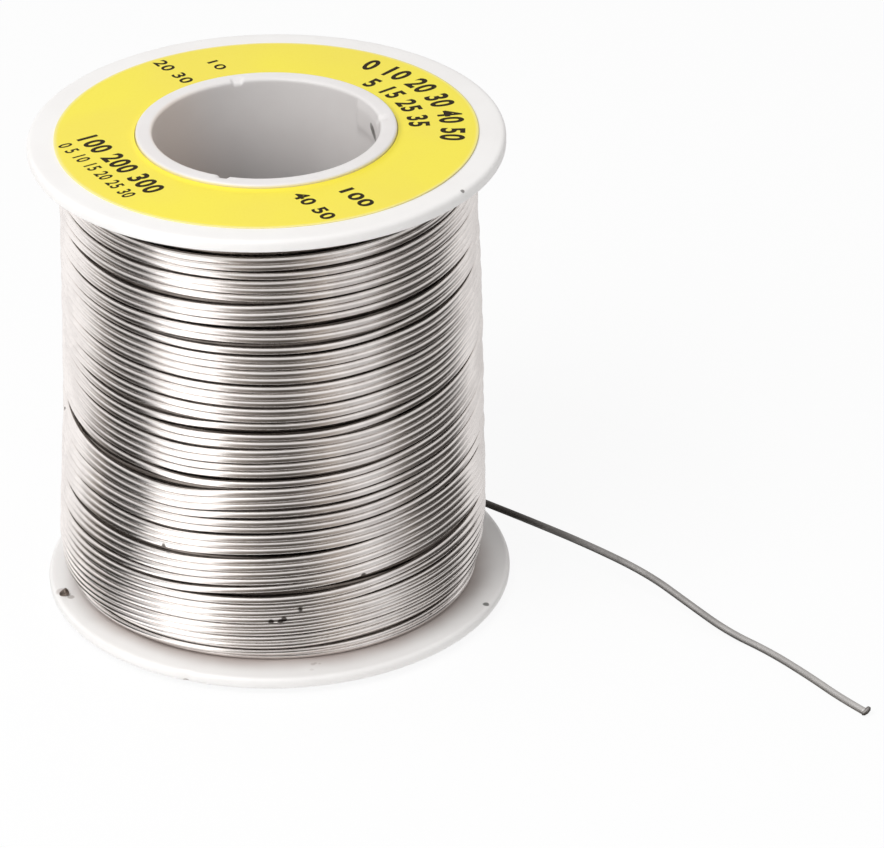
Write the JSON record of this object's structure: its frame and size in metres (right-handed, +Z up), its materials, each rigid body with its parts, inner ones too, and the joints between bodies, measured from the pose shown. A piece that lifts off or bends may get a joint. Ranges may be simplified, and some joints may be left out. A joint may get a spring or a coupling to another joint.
{
  "type": "solder wire spool",
  "caption": "Round plastic spool standing on end, with a spindle bore, two flanges, a paper ring label and a full winding of solder wire whose free end lies beside it.",
  "frame": {"origin": "on the spool's axis, in the plane of the barrel's lower end, on which the spool stands", "axes": "+Z up along the spool's axis towards the labelled flange; the wire's free end runs off towards +X and -Y"},
  "size_m": [0.1097, 0.074, 0.0693],
  "materials": {
    "white_plastic": "moulded, satin",
    "label_paper": "smooth coated paper, yellow",
    "tin_wire": "bright drawn tin alloy"
  },
  "bodies": {
    "root": {"barrel": "white_plastic", "lower_flange": "white_plastic", "upper_flange": "white_plastic", "label": "label_paper", "wire_inner_layers": "tin_wire", "wire_outer_layer": "tin_wire", "wire_free_end": "tin_wire", "wire_first_end": "tin_wire"}
  },
  "joints": []
}
